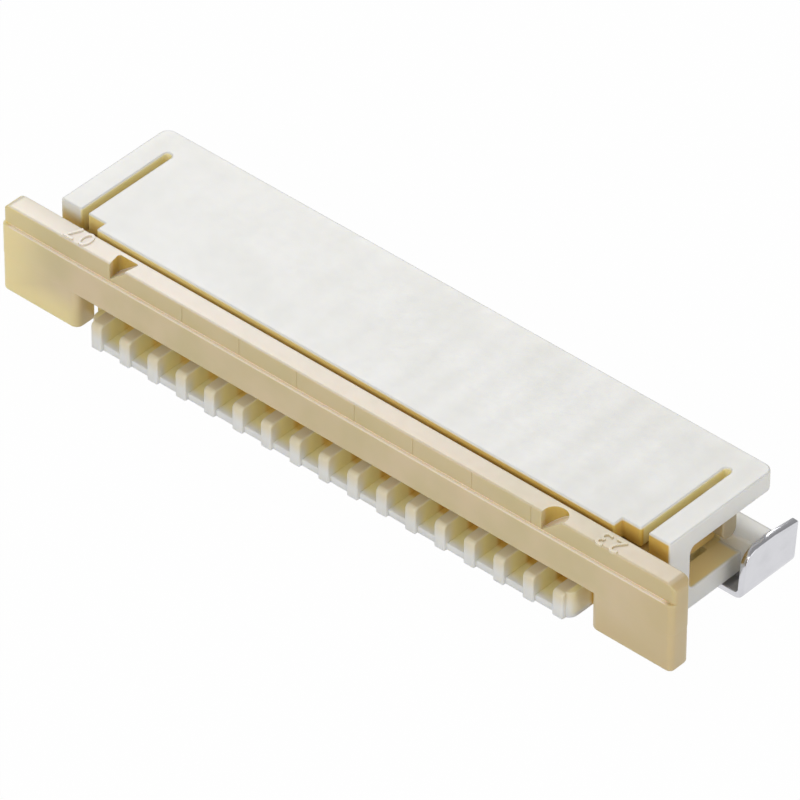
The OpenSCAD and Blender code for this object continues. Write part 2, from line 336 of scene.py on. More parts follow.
mouldedValues = {
    "wanderStretch": (1.0, 0.16, 0.35), "streakBend": 2.2, "streakWave": 0.35, "streakWander": 2.0,
    "streakEnd": 4.0, "leastStreak": 0.35, "streakColor": 0.4, "streakRough": 0.10,
    "blotchLow": 0.32, "blotchHigh": 0.68, "speckColor": 0.04, "speckRough": 0.06, "speckHeight": 0.12,
}
rolledValues = {
    "lineStretch": 0.06, "lineColor": 0.5, "lineLow": -0.2, "lineHeight": 0.6, "stainLow": 0.4,
    "stainHigh": 0.75, "stainColor": 0.7, "stainRough": 0.08, "spotRough": 0.06, "spotHeight": 0.4,
}


def makeMouldedSkin(s):
    # moulded plastic: soft blotches of colour, flow streaks from front to back and a fine skin
    group, given, result = newSkin("mouldedSkin", [
        ("Light Tint", "Color"), ("Deep Tint", "Color"), ("Streak Amount", "Float"),
        ("Base Roughness", "Float"), ("Streak Start", "Float")])
    place = addStretch(group, given["Coordinates"], (perMetre, perMetre, perMetre))
    blotch = addNoise(group, place, scale=0.55, detail=2.5)
    speck = addNoise(group, place, scale=4.0, detail=2.0)
    alongY = addStretch(group, place, s["wanderStretch"])
    wander = addNoise(group, alongY, scale=1.7, detail=3.0, roughness=0.62)
    x = addAxes(group, place)["x"]
    # one streak for each contact, bent by a slow noise and weaker towards the left
    phase = addMath(group, "MULTIPLY_ADD", x, 2 * math.pi / pitch, addProduct(group, wander, s["streakBend"]))
    wave = addMath(group, "SINE", phase)
    streak = addMath(group, "MULTIPLY_ADD", wave, s["streakWave"], addSwing(group, wander, s["streakWander"]))
    fade = addRange(group, x, given["Streak Start"], s["streakEnd"], s["leastStreak"])
    streak = addProduct(group, streak, fade, given["Streak Amount"])
    mask = addRange(group, blotch, s["blotchLow"], s["blotchHigh"])
    mask = addMath(group, "ADD", mask, addSwing(group, speck, s["speckColor"]))
    mask = addMath(group, "MULTIPLY_ADD", streak, s["streakColor"], mask, clamp=True)
    setInput(group, result["Color"], addMix(group, mask, given["Light Tint"], given["Deep Tint"]))
    rough = addMath(group, "ADD", given["Base Roughness"], addSwing(group, speck, s["speckRough"]))
    rough = addMath(group, "MULTIPLY_ADD", streak, s["streakRough"], rough)
    setInput(group, result["Roughness"], rough)
    setInput(group, result["Height"], addMath(group, "MULTIPLY_ADD", speck, s["speckHeight"], streak))
    return group


def makeRolledSkin(s):
    # plated sheet: fine lines of rolling, small stains and a soft satin
    group, given, result = newSkin("rolledSkin", [
        ("Bright", "Color"), ("Dull", "Color"), ("Base Roughness", "Float")])
    place = addStretch(group, given["Coordinates"], (perMetre, perMetre, perMetre))
    alongY = addStretch(group, place, (1.0, s["lineStretch"], 1.0))
    stain = addNoise(group, place, scale=1.8, detail=3.0)
    line = addNoise(group, alongY, scale=22.0, detail=2.0)
    spot = addNoise(group, place, scale=14.0, detail=2.0)
    mask = addMath(group, "MULTIPLY_ADD", line, s["lineColor"], s["lineLow"])
    stains = addRange(group, stain, s["stainLow"], s["stainHigh"], 0.0, s["stainColor"])
    mask = addMath(group, "ADD", stains, mask, clamp=True)
    setInput(group, result["Color"], addMix(group, mask, given["Bright"], given["Dull"]))
    rough = addMath(group, "ADD", given["Base Roughness"], addSwing(group, spot, s["spotRough"]))
    rough = addMath(group, "ADD", rough, addSwing(group, stain, s["stainRough"]))
    setInput(group, result["Roughness"], rough)
    spots = addMath(group, "MULTIPLY", spot, s["spotHeight"])
    setInput(group, result["Height"], addMath(group, "MULTIPLY_ADD", line, s["lineHeight"], spots))
    return group


mouldedSkin = makeMouldedSkin(mouldedValues)
rolledSkin = makeRolledSkin(rolledValues)
print("skins done")


# materials
# Parts of a moulding get painted light and shade as tints over their colour: painted shade in hollows and
# gaps, painted highlights and glow on lit faces. A tint lies where all its fades are. A fade is a place,
# then where it is 0 and where it is 1, in millimetres, and may end with two other values than 0 and 1.
# A tint of two colours goes from the left one to the right one across a span of x.

def newMaterial(name, group, finish):
    # a Principled shader fed by a skin group on Object coordinates
    material = bpy.data.materials.new(name)
    material.use_nodes = True
    tree = material.node_tree
    shader = tree.nodes["Principled BSDF"]
    coords = tree.nodes.new("ShaderNodeTexCoord").outputs["Object"]
    skin = tree.nodes.new("ShaderNodeGroup")
    skin.node_tree = group
    tree.links.new(coords, skin.inputs["Coordinates"])
    for label, value in finish["skin"].items():
        setInput(tree, skin.inputs[label], value)
    tree.links.new(skin.outputs["Color"], shader.inputs["Base Color"])
    tree.links.new(skin.outputs["Roughness"], shader.inputs["Roughness"])
    bump = tree.nodes.new("ShaderNodeBump")
    bump.inputs["Strength"].default_value = finish["bumpStrength"]
    bump.inputs["Distance"].default_value = finish["bumpDistance"]
    tree.links.new(skin.outputs["Height"], bump.inputs["Height"])
    tree.links.new(bump.outputs["Normal"], shader.inputs["Normal"])
    for label, value in finish["body"].items():
        shader.inputs[label].default_value = value
    return material


def addMask(tree, place, fades):
    return addProduct(tree, *[addRange(tree, place[along], *span) for along, *span in fades])


# paints one part's light or shade over the colour, where its mask lies
def addPaintedLight(tree, place, color, part):
    mask = addMask(tree, place, part["where"])
    if "orWhere" in part:
        mask = addMath(tree, "MAXIMUM", mask, addMask(tree, place, part["orWhere"]))
    if "apartFrom" in part:
        rest = addMath(tree, "SUBTRACT", 1.0, addMask(tree, place, part["apartFrom"]))
        mask = addMath(tree, "MULTIPLY", mask, rest)
    tint = part["tint"]
    if "across" in part:
        tint = addMix(tree, addRange(tree, place["x"], *part["across"]), *tint)
    return addMix(tree, addMath(tree, "MULTIPLY", mask, part["amount"]), color, tint)


def makePlastic(name, finish, paintedLightParts, addOwnPlaces):
    material = newMaterial(name, mouldedSkin, finish)
    tree = material.node_tree
    baseColor = tree.nodes["Principled BSDF"].inputs["Base Color"]
    color = baseColor.links[0].from_socket
    coords = tree.nodes.new("ShaderNodeTexCoord").outputs["Object"]
    place = addAxes(tree, addStretch(tree, coords, (perMetre, perMetre, perMetre)))
    place["side"] = addMath(tree, "ABSOLUTE", place["x"])
    addOwnPlaces(tree, place)
    # paint each part's light or shade over the skin's colour
    for part in paintedLightParts.values():
        color = addPaintedLight(tree, place, color, part)
    tree.links.new(color, baseColor)
    return material


# housing: white moulding with the comb, the roof and the two end frames

housingShape = {
    "soft": 0.035, "rings": 3,
    "roofT": 0.62, "roofFront": 0.84, "armFront": 1.17, "roofStep": 8.92, "slotIn": 9.54, "slotOut": 9.77,
    "slotEnd": 4.47, "slotR": 0.112, "roofBackR": 0.3, "roofSoft": 0.055,
    "frameOut": 10.50, "frameLow": 0.31, "frameLowR": 0.1, "frameR": 0.2, "frameSoft": 0.05, "postBack": 2.0,
    "headBack": 2.35, "headRise": 0.4, "railTop": 0.95, "joinFront": 3.5, "webIn": 8.87,
    "blockFront": 4.0, "blockBack": 4.85, "blockTop": 1.38, "blockLow": 0.22, "blockR": 0.1,
    "lipHalf": 8.35, "lipFront": -0.11, "lipR": 0.42, "lipTop": 0.23, "lipBack": 0.79,
    "lipEndIn": 7.94, "lipEndR": 0.3, "lipEndBack": 1.0,
    "wallHalf": 8.88, "wallFront": 0.78, "wallR": 0.05, "cavityHalf": 8.56, "edgeIn": 8.01,
    "pocketBack": 1.03, "rearFront": 4.05, "rearBack": 5.0, "floorT": 0.6,
    "ribFront": -0.22, "ribTop": 0.85, "ribHalf": 0.18, "ribR": 0.15, "ribSoft": 0.045,
    "contactSlotHalf": 0.145, "contactSlotFront": 1.02, "contactSlotTop": 2.30, "contactBaseBack": 4.73,
    "grooveZ": 0.25, "prongSlot": ((10.10, 4.13, -0.1), (10.34, 4.72, 1.05)),
}
whiteFinish = {
    "skin": {"Light Tint": (0.86, 0.855, 0.82), "Deep Tint": (0.81, 0.805, 0.765), "Streak Amount": 0.24,
             "Base Roughness": 0.33, "Streak Start": -6.0},
    "bumpStrength": 0.35, "bumpDistance": 0.010 * mm,
    "body": {"Subsurface Weight": 0.5, "Subsurface Radius": (1.0, 0.9, 0.65), "Subsurface Scale": 0.4 * mm,
             "IOR": 1.6},
}
inComb = [("y", 1.2, 1.1), ("z", 0.98, 0.9), ("side", 9.1, 8.9)]
# painted shade and bounced light in the housing's hollows, under the slider and in the end frames
housingPaintedShade = {
    # the ribs' upper parts: painted shade under the slider's bar, browned as by light off the beige bar
    "ribs": {"tint": (0.78, 0.67, 0.44), "amount": 0.85, "where": inComb + [("z", 0.3, 0.8)]},
    # the pockets between the ribs: painted shade with a painted warm glow of light through the slider
    "pockets": {"tint": (1.0, 0.87, 0.44), "amount": 0.9, "where": inComb + [
        ("fromRib", 0.16, 0.178), ("side", 8.4, 8.3), ("z", 0.05, 0.22), ("y", -0.11, 0.25)]},
    # the roof's slots: painted warm shade on their walls
    "roofSlots": {"tint": (1.0, 0.87, 0.50), "amount": 0.95, "where": [
        ("fromSlot", 0.17, 0.12), ("z", 2.935, 2.88), ("y", 4.65, 4.58)]},
    # the roof's front face in the gap behind the strip: painted shade, yellow at the left and dark
    # orange-brown at the right, apart from the left arm's front
    "roofFront": {"tint": ((0.90, 0.70, 0.24), (0.72, 0.47, 0.08)), "across": (-8, 9), "amount": 0.95,
                  "where": [("y", 0.6, 0.78), ("y", 1.32, 1.22), ("z", 2.935, 2.86), ("side", 10.5, 10.42)],
                  "apartFrom": [("x", -9.7, -9.8), ("z", 2.3, 2.8)]},
    # the end windows: painted warm shade inside the frames
    "endWindows": {"tint": (0.93, 0.78, 0.42), "amount": 0.95, "where": [
        ("y", 1.3, 1.5), ("y", 4.0, 3.85), ("z", 0.86, 0.93), ("z", 2.4, 2.33), ("side", 10.49, 10.4)]},
}


def addHousingPlaces(tree, place):
    # how far a point is from the nearest rib's middle, and from the middle of its end's slot in the roof
    s = housingShape
    place["fromRib"] = addMath(tree, "PINGPONG", place["x"], pitch / 2)
    fromSlot = addMath(tree, "SUBTRACT", place["side"], (s["slotIn"] + s["slotOut"]) / 2)
    place["fromSlot"] = addMath(tree, "ABSOLUTE", fromSlot)


whitePlastic = makePlastic("housingPlastic", whiteFinish, housingPaintedShade, addHousingPlaces)


def roofMesh(s, top, back):
    # seen from above: the front edge, a step, the slot that parts the arm from the roof, and the back corner
    front, slotEnd = s["armFront"], s["slotEnd"]
    outline = mirrored([
        (s["roofStep"], s["roofFront"]), (s["roofStep"], front), (s["slotIn"], front),
        (s["slotIn"], slotEnd, s["slotR"]), (s["slotOut"], slotEnd, s["slotR"]), (s["slotOut"], front),
        (s["frameOut"], front), (s["frameOut"], back, s["roofBackR"])])
    return prism(outline, "z", top - s["roofT"], top, s["roofSoft"], s["rings"])


def endMeshes(s, under, blockOut):
    # the frame's post and rail, the web inside the rail, what joins the two, and the tab's block
    front, back, low, railTop = s["armFront"] + tiny, s["blockBack"] - tiny, s["frameLow"], s["railTop"]
    frameMesh = prism([
        (front, low, s["frameLowR"]), (back, low), (back, railTop), (s["postBack"], railTop, s["frameR"]),
        (s["postBack"], under + tiny, s["frameR"]), (s["headBack"], under + tiny),
        (s["headBack"], under + s["headRise"]), (front, under + s["headRise"])],
        "x", s["slotOut"] + tiny, s["frameOut"] - tiny, s["frameSoft"], s["rings"])
    web = block((s["webIn"], front + tiny, low + tiny), (s["slotIn"], back - tiny, railTop - tiny), s["soft"])
    join = block((s["slotIn"] - lap, s["joinFront"], low + 2 * tiny),
                 (s["slotOut"] + lap, s["blockBack"] - lap, railTop - 2 * tiny))
    tabBlock = prism([
        (s["blockFront"], s["blockLow"], s["blockR"]), (s["blockBack"], s["blockLow"], s["blockR"]),
        (s["blockBack"], s["blockTop"], s["blockR"]), (s["blockFront"], s["blockTop"], s["blockR"])],
        "x", s["webIn"] - lap / 2, blockOut, s["frameSoft"], s["rings"])
    return [frameMesh, web, join, tabBlock]


def lowMeshes(s, bottom, under):
    # the comb's lip, the floor and the rear wall, which run from end to end
    lip = prism(mirrored([
        (s["lipHalf"], s["lipFront"], s["lipR"]), (s["lipHalf"], s["lipBack"]),
        (s["wallHalf"], s["lipBack"], s["wallR"]), (s["wallHalf"], s["pocketBack"] + lap)]),
        "z", bottom, s["lipTop"], s["soft"])
    half = s["wallHalf"] - tiny
    floor = block((-half, s["pocketBack"], bottom + tiny), (half, s["rearBack"], s["floorT"]), s["soft"])
    rearWall = block((tiny - half, s["rearFront"], bottom + 3 * tiny),
                     (half - tiny, s["rearBack"] - tiny, under + 1.5 * lap), s["soft"])
    return [lip, floor, rearWall]


def wallMeshes(s, bottom, under):
    # the comb's end block, the block behind it and the cable's side wall
    out = s["lipHalf"] - tiny
    lipEnd = prism([
        (s["lipEndIn"], s["lipFront"] + tiny), (out, s["lipFront"] + tiny, s["lipEndR"]),
        (out, s["lipEndBack"]), (s["lipEndIn"], s["lipEndBack"])],
        "z", bottom + tiny, s["ribTop"] - tiny, s["soft"])
    edgeBlock = block((s["edgeIn"], s["wallFront"], bottom + 2 * tiny),
                      (s["wallHalf"], s["rearFront"] + lap, s["ribTop"] - 2 * tiny), s["soft"])
    sideWall = block((s["cavityHalf"], s["wallFront"] + tiny, bottom + 3 * tiny),
                     (s["wallHalf"] - tiny, s["rearFront"] + 2 * lap, under + lap), s["soft"])
    return [lipEnd, edgeBlock, sideWall]


def combMesh(s, bottom):
    front, back, top = s["ribFront"], s["rearFront"] + lap / 2, s["ribTop"]
    rib = prism([(front, bottom), (back, bottom), (back, top), (front, top, s["ribR"])],
                "x", -s["ribHalf"], s["ribHalf"], s["ribSoft"], s["rings"])
    return centredRow("ribs", rib, contactCount + 1, pitch, whitePlastic)


def contactSlotMesh(s, back):
    # a slot runs from a pocket through the rear wall, and is open to the board where the tail comes out
    front, top, half = s["contactSlotFront"], s["contactSlotTop"], s["contactSlotHalf"]
    slot = prism([
        (front, s["grooveZ"]), (s["contactBaseBack"], s["grooveZ"]), (s["contactBaseBack"], -past),
        (back + past, -past), (back + past, top), (front, top)], "x", -half, half)
    return centredRow("contactSlots", slot, contactCount, pitch, whitePlastic)


def buildHousing(s):
    low, high = cadEdges("housing")
    under = high.z - s["roofT"]
    lip, floor, rearWall = lowMeshes(s, low.z, under)
    ends = bothEnds(endMeshes(s, under, high.x) + wallMeshes(s, low.z, under))
    parts = [lip, floor, rearWall, combMesh(s, low.z)] + ends
    solid = combine("housingSolid", roofMesh(s, high.z, high.y), parts, "UNION")
    cutters = [contactSlotMesh(s, high.y)] + bothEnds([block(*s["prongSlot"])])
    mesh = combine("housingBody", solid, cutters, "DIFFERENCE")
    finishPiece("housingBody", mesh, whitePlastic, "housing", ["housing"])


buildHousing(housingShape)


# slider: beige lock bar with its ears, side arms, latch lugs and marks

sliderShape = {
    "barT": 0.73, "barZ": 1.23, "barSoft": 0.05, "ledgeZ": 2.24, "ledge": 0.1, "cornerR": 0.18,
    "barRings": 4, "barSteps": 10,
    "earIn": 8.88, "earInnerR": 0.24, "earInset": 0.006, "earRise": 0.4, "earSoft": 0.1, "earSteps": 9,
    "stripR": 0.15, "stripSoft": 0.055, "stripLow": 2.10, "shoulderH": 0.4, "shoulderR": 0.3, "rings": 3,
    "tongueHalf": 8.49, "tongueEnd": 3.30, "tongueTop": 1.91, "tongueTopR": 0.1, "tongueSoft": 0.03,
    "noseLowR": 0.2, "noseR": 0.05,
    "armIn": 8.95, "armOut": 9.70, "armFront": 0.58, "armEnd": 3.93, "armZ": 1.02, "armTop": 2.25,
    "armSoft": 0.05,
    "lugOut": 10.30, "lugFront": 3.50, "lugBack": 4.05, "lugZ": 1.45, "lugR": 0.27,
    "markX": 7.5, "markHalf": 0.36, "markNarrow": 0.24, "markBack": 0.58, "markRise": 0.01,
    "leftMarkR": 0.08, "rightMarkR": 0.35,
    "tickX": -5.2, "tickStep": 2.0, "ticks": 7, "tickHalf": 0.014, "tickDeep": 0.012, "tickRise": 0.02,
    # plain numbers, each with the x and y of its middle
    "digits": (("07", -9.10, 0.45), ("23", 9.24, 0.36)), "digitSize": 0.76, "digitProud": 0.04,
    "digitSpacing": 1.15, "digitSteps": 4,
}
beigeFinish = {
    "skin": {"Light Tint": (0.705, 0.565, 0.35), "Deep Tint": (0.625, 0.52, 0.28), "Streak Amount": 0.08,
             "Base Roughness": 0.33, "Streak Start": -8.0},
    "bumpStrength": 0.3, "bumpDistance": 0.010 * mm,
    "body": {"Subsurface Weight": 0.5, "Subsurface Radius": (1.0, 0.8, 0.5), "Subsurface Scale": 0.35 * mm,
             "IOR": 1.6},
}
inMarks = [("fromMark", 0.37, 0.36), ("z", 2.829, 2.80), ("y", 0.12, 0.15), ("y", 0.62, 0.59)]
# painted light and shade on the slider: glow, highlights and sheen on lit faces, shade in gaps and marks
sliderPaintedLightAndShade = {
    # the ears and their lower inner parts: a painted glow of light through the left ear, going over to
    # painted shade at the right
    "ears": {"tint": ((0.91, 0.77, 0.37), (0.64, 0.50, 0.26)), "across": (-5, 5), "amount": 0.8,
             "where": [("side", 9.4, 11.6), ("y", 0.9, 0.75)],
             "orWhere": [("z", 1.3, 0.2), ("side", 8.6, 9.3), ("y", 0.9, 0.75)]},
    # the side arms behind the bar: painted shade, dark orange-brown
    "arms": {"tint": (0.70, 0.49, 0.18), "amount": 1.0, "where": [("y", 0.75, 1.0), ("side", 8.8, 8.9)]},
    # the latch lugs: painted shade in the end windows
    "lugs": {"tint": (0.46, 0.385, 0.25), "amount": 1.0, "where": [("y", 3.3, 3.5), ("side", 9.7, 9.8)]},
    # the strip's front face: painted shade, darker and more olive than the lit top
    "stripFront": {"tint": (0.60, 0.50, 0.24), "amount": 0.5, "where": [
        ("z", 2.26, 2.3), ("z", 2.79, 2.76), ("y", 0.2, 0.12)]},
    # the strip's top: a painted pale sheen, stronger towards the left
    "stripTop": {"tint": (0.92, 0.84, 0.75), "amount": 1.0, "where": [
        ("z", 2.78, 2.825), ("x", -8, 10, 0.8, 0.3)]},
    # the ledge along the bar: a painted highlight line, fading out at the outer ends
    "ledge": {"tint": (1.0, 0.83, 0.66), "amount": 1.0, "where": [
        ("z", 2.195, 2.225), ("z", 2.27, 2.245), ("y", 0.13, 0.11), ("side", 11.45, 11.2)]},
    # the marks' walls: painted dark shade
    "markWalls": {"tint": (0.62, 0.44, 0.11), "amount": 1.0, "where": inMarks + [("y", 0.16, 0.32)]},
    # the marks' sloping floors: painted light
    "markFloors": {"tint": (0.90, 0.81, 0.68), "amount": 1.0, "where": inMarks + [("fromFloor", 0.03, 0.01)]},
}


def addSliderPlaces(tree, place):
    # how far a point is from the middle of its end's mark, and from that mark's sloping floor
    s = sliderShape
    low, high = s["ledgeZ"] + s["markRise"], cadEdges("slider")[1].z
    markX = addMath(tree, "MULTIPLY", addMath(tree, "SIGN", place["x"]), s["markX"])
    inMark = addMath(tree, "SUBTRACT", place["x"], markX)
    floorZ = addRange(tree, inMark, -s["markHalf"], s["markHalf"], low, high, smooth=False)
    place["fromMark"] = addMath(tree, "ABSOLUTE", inMark)
    place["fromFloor"] = addMath(tree, "ABSOLUTE", addMath(tree, "SUBTRACT", place["z"], floorZ))


beigePlastic = makePlastic("sliderPlastic", beigeFinish, sliderPaintedLightAndShade, addSliderPlaces)


def barMesh(s, out):
    r = s["cornerR"]
    outline = [(-out, 0, r), (out, 0, r), (out, s["barT"], r), (-out, s["barT"], r)]
    return prism(outline, "z", s["barZ"], s["ledgeZ"], s["barSoft"], s["barRings"], s["barSteps"])


def earMesh(s, out, bottom):
    # the ear runs up into the bar, a hair inside its faces
    r, front, back, side = s["cornerR"], s["earInset"], s["barT"] - s["earInset"], out - s["earInset"]
    outline = [(s["earIn"], front, s["earInnerR"]), (side, front, r), (side, back, r), (s["earIn"], back)]
    return prism(outline, "z", bottom, s["barZ"] + s["earRise"], s["earSoft"], s["barRings"], s["earSteps"])


def stripMesh(s, out, top):
    # the strip on the bar: its form from the front, met by its form from above
    wide, shoulder = out + lap, top - s["shoulderH"]
    fromFront = prism(mirrored([(wide, s["stripLow"] - lap / 10), (wide, shoulder - lap / 2), (out, shoulder),
                                (out, top, s["shoulderR"])]),
                      "y", s["ledge"], s["barT"] - tiny, s["stripSoft"], s["rings"], s["barSteps"])
    side, front, back = out - tiny, s["ledge"] - tiny, s["barT"] - tiny / 2
    fromAbove = prism([(-side, front, s["stripR"]), (side, front, s["stripR"]), (side, back, s["cornerR"]),
                       (-side, back, s["cornerR"])], "z", s["stripLow"], top + lap, steps=s["barSteps"])
    return combine("strip", fromFront, [fromAbove], "INTERSECT")


def tongueMesh(s):
    # a flat tongue whose underside climbs at its nose, to let the cable in
    low, front, end, top = s["barZ"] + tiny, s["barT"] - lap, s["tongueEnd"], s["tongueTop"]
    nose = (top - s["barZ"]) / 2
    outline = [(front, low), (end - 2 * nose, low, s["noseLowR"]), (end, s["barZ"] + nose, s["noseR"]),
               (end, top, s["tongueTopR"]), (front, top)]
    return prism(outline, "x", -s["tongueHalf"], s["tongueHalf"], s["tongueSoft"])


def armMeshes(s):
    # the side arm, its head and the latch lug on the head
    soft, rings, top = s["armSoft"], s["rings"], s["armTop"]
    front, back, low, lugTop = s["lugFront"], s["lugBack"], s["lugZ"], top - 2 * tiny
    arm = block((s["armIn"], s["armFront"], s["armZ"]), (s["armOut"], s["armEnd"], top), soft, rings)
    head = block((s["armIn"] + tiny, front, low), (s["armOut"] - tiny, back - tiny, top - tiny), soft, rings)
    lug = prism([(front, low, s["lugR"]), (back, low, s["lugR"]), (back, lugTop), (front, lugTop)],
                "x", s["armOut"] - lap, s["lugOut"], soft, rings)
    return [arm, head, lug]


def markCutter(s, x, frontHalf, backR, top):
    # a cutter whose floor climbs from the ledge at its -X side to the strip's top at its +X side
    half, low = s["markHalf"], s["ledgeZ"] + s["markRise"]
    mesh = prism([(-frontHalf, -lap / 2), (frontHalf, -lap / 2), (half, s["markBack"], backR),
                  (-half, s["markBack"], backR)], "z", 0, 1)
    for v in mesh.vertices:
        slope = low + (top - low) * (v.co.x + half) / (2 * half)
        v.co.z = top + past if v.co.z > 0.5 else slope
    mesh.transform(Matrix.Translation((x, 0, 0)))
    return mesh


def tickMesh(s, top):
    # hairline ticks along the strip's front
    tick = block((-s["tickHalf"], s["ledge"] - lap, s["ledgeZ"] + s["tickRise"]),
                 (s["tickHalf"], s["ledge"] + s["tickDeep"], top + lap))
    return rowOf("ticks", tick, s["ticks"], s["tickStep"], s["tickX"], beigePlastic)


def digitMesh(s, text, x, y, top):
    # raised digits, read from behind the connector
    curve = bpy.data.curves.new("digits", "FONT")
    curve.body = text
    curve.size = s["digitSize"]
    curve.extrude = s["digitProud"]
    curve.space_character = s["digitSpacing"]
    curve.resolution_u = s["digitSteps"]
    curve.align_x = "CENTER"
    curve.align_y = "CENTER"
    obj = placed("digits", curve)
    mesh = finalMesh(obj, "digits")
    bpy.data.objects.remove(obj)
    mesh.transform(Matrix.Translation((x, y, top)) @ Matrix.Rotation(math.pi, 4, "Z"))
    bm = bmesh.new()
    bm.from_mesh(mesh)
    bmesh.ops.remove_doubles(bm, verts=bm.verts, dist=10 * seamGap)
    bmesh.ops.recalc_face_normals(bm, faces=bm.faces)
    return meshFrom(bm, "digits")


def buildSlider(s):
    low, high = cadEdges("slider")
    out, top = high.x, high.z
    parts = [stripMesh(s, out, top), tongueMesh(s)] + bothEnds([earMesh(s, out, low.z)] + armMeshes(s))
    solid = combine("sliderSolid", barMesh(s, out), parts, "UNION")
    cutters = [markCutter(s, -s["markX"], s["markNarrow"], s["leftMarkR"], top),
               markCutter(s, s["markX"], s["markHalf"], s["rightMarkR"], top), tickMesh(s, top)]
    cut = combine("sliderCut", solid, cutters, "DIFFERENCE")
    mesh = combine("sliderBody", cut, [digitMesh(s, *digits, top) for digits in s["digits"]], "UNION")
    finishPiece("sliderBody", mesh, beigePlastic, "slider", ["slider"])


buildSlider(sliderShape)


# board tabs: one bent sheet at each end, with an inner prong

tabShape = {
    "sheetT": 0.2, "lean": 4.0, "bendR": 0.3, "footIn": 10.12, "plateX": 11.08, "front": 3.40, "back": 5.45,
    "footBack": 5.25, "height": 1.6, "topFlat": 1.1, "slope": 0.12, "relief": 0.6,
    "cornerR": 0.5, "backR": 0.06, "reliefR": 0.05, "footR": 0.04, "cornerSteps": 12, "bendSteps": 12,
    "prong": ((10.12, 4.15, 0.01), (10.32, 4.70, 1.03)), "prongSoft": 0.03,
    "soft": 0.035, "rings": 3, "rimAngle": 60, "smoothAngle": 40,
}
tinFinish = {
    "skin": {"Bright": (0.66, 0.66, 0.69), "Dull": (0.60, 0.60, 0.63), "Base Roughness": 0.17},
    "bumpStrength": 0.12, "bumpDistance": 0.002 * mm, "body": {"Metallic": 1.0},
}

tinPlate = newMaterial("tabTin", rolledSkin, tinFinish)


def flatSheet(s, footLength, bendLength, end):
    # the sheet before it is bent, as u along the bend and y, with rows of points where it will turn
    relief = footLength + bendLength * s["relief"]
    outline = roundCorners([
        (0, s["front"], s["footR"]), (end, s["front"], s["cornerR"]), (end, s["front"] + s["topFlat"]),
        (end - s["slope"], s["back"], s["backR"]), (relief, s["back"], s["reliefR"]),
        (relief, s["footBack"], s["reliefR"]), (0, s["footBack"], s["footR"])], s["cornerSteps"])
    bm = bmesh.new()
    bm.faces.new([bm.verts.new((p.x, p.y, 0)) for p in outline])
    for k in range(s["bendSteps"] + 1):
        line = footLength + bendLength * k / s["bendSteps"]
        bmesh.ops.bisect_plane(bm, geom=bm.faces[:] + bm.edges[:] + bm.verts[:], plane_co=(line, 0, 0),
                               plane_no=(1, 0, 0))
    made = bmesh.ops.extrude_face_region(bm, geom=list(bm.faces))
    for v in made["geom"]:
        if isinstance(v, bmesh.types.BMVert):
            v.co.z = s["sheetT"]
    bmesh.ops.recalc_face_normals(bm, faces=bm.faces)
    bevelEdges(bm, s["rimAngle"], s["soft"], s["rings"])
    return bm


def bentSheet(s):
    lean = math.radians(s["lean"])
    turn = math.pi / 2 - lean
    reach = s["bendR"] * math.tan(turn / 2)
    footLength = s["plateX"] - reach - s["footIn"]
    bendLength = s["bendR"] * turn
    bm = flatSheet(s, footLength, bendLength, footLength + bendLength + s["height"] - reach)
    for v in bm.verts:
        u, depth = v.co.x, v.co.z
        if u <= footLength:
            x, z = s["footIn"] + u, depth
        elif u <= footLength + bendLength:
            t = (u - footLength) / s["bendR"]
            r = s["bendR"] - depth
            x, z = s["plateX"] - reach + r * math.sin(t), s["bendR"] - r * math.cos(t)
        else:
            w = u - footLength - bendLength + reach
            x = s["plateX"] + w * math.sin(lean) - depth * math.cos(lean)
            z = w * math.cos(lean) + depth * math.sin(lean)
        v.co = (x, v.co.y, z)
    bmesh.ops.recalc_face_normals(bm, faces=bm.faces)
    return meshFrom(bm, "sheet")


def buildTab(s, name, node, mirror):
    mesh = combine(name, bentSheet(s), [block(*s["prong"], s["prongSoft"])], "UNION")
    if mirror:
        mesh = flipped(mesh)
    finishPiece(name, mesh, tinPlate, "housing", [node], s["smoothAngle"])


buildTab(tabShape, "boardTabRight", "tab_right", False)
buildTab(tabShape, "boardTabLeft", "tab_left", True)


# contacts: sixteen stamped springs with their solder tails

contactShape = {
    "half": 0.125, "tipY": 1.13, "beamH": 0.3, "bump": 0.12, "gap": 0.02, "bend": 0.1, "baseFront": 4.07,
    "baseBack": 4.75, "tailY": 5.9, "tailT": 0.2, "top": 2.28, "edgeR": 0.03, "tipR": 0.04, "bendR": 0.05,
    "innerR": 0.06, "soft": 0.018, "rings": 2, "steps": 3, "smoothAngle": 35,
}
platingFinish = {
    "skin": {"Bright": (0.86, 0.68, 0.36), "Dull": (0.74, 0.56, 0.28), "Base Roughness": 0.25},
    "bumpStrength": 0.2, "bumpDistance": 0.003 * mm, "body": {"Metallic": 1.0},
}

contactPlate = newMaterial("contactPlating", rolledSkin, platingFinish)


